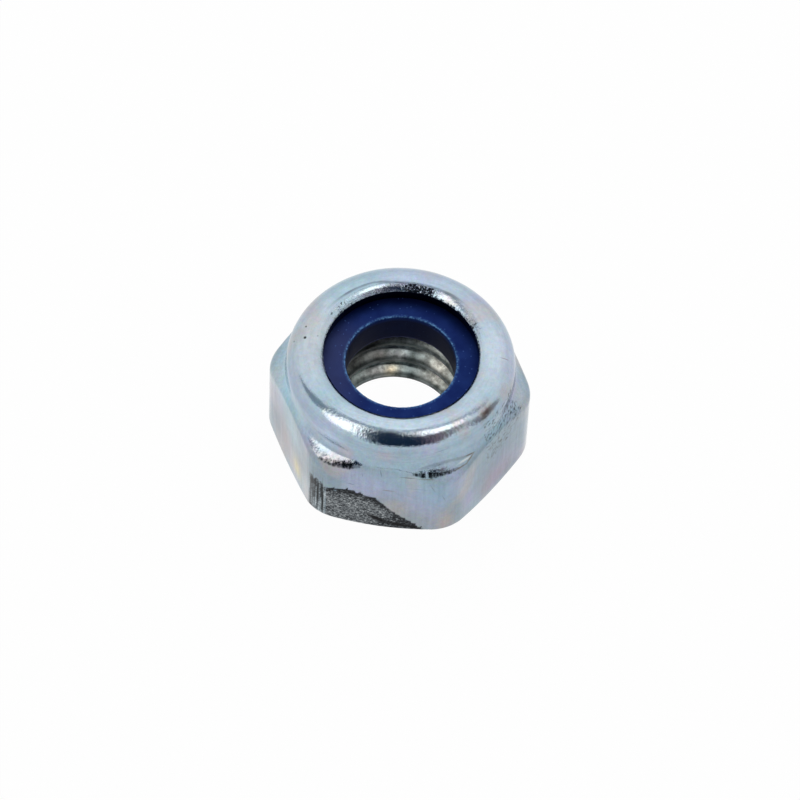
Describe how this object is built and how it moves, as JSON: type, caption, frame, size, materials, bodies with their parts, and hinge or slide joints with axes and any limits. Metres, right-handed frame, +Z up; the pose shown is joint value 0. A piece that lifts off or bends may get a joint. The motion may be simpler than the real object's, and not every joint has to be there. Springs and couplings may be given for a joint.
{
  "type": "nylon insert lock nut",
  "caption": "Self-locking hexagon nut: a chamfered steel hexagon with a round collar whose lip is rolled over a blue nylon ring.",
  "frame": {"origin": "centre of the bearing face, on the thread axis", "axes": "+Z up the thread axis from the bearing face to the collar; a pair of wrench flats faces along Y and two corners of the hexagon lie along X"},
  "size_m": [0.011, 0.01, 0.006],
  "materials": {
    "zinc_plated_steel": "bright zinc plating with a clear blue passivate, faintly iridescent",
    "blue_nylon": "satin moulded deep blue nylon"
  },
  "bodies": {
    "root": {"nut_body": "zinc_plated_steel", "nylon_ring": "blue_nylon"}
  },
  "joints": []
}
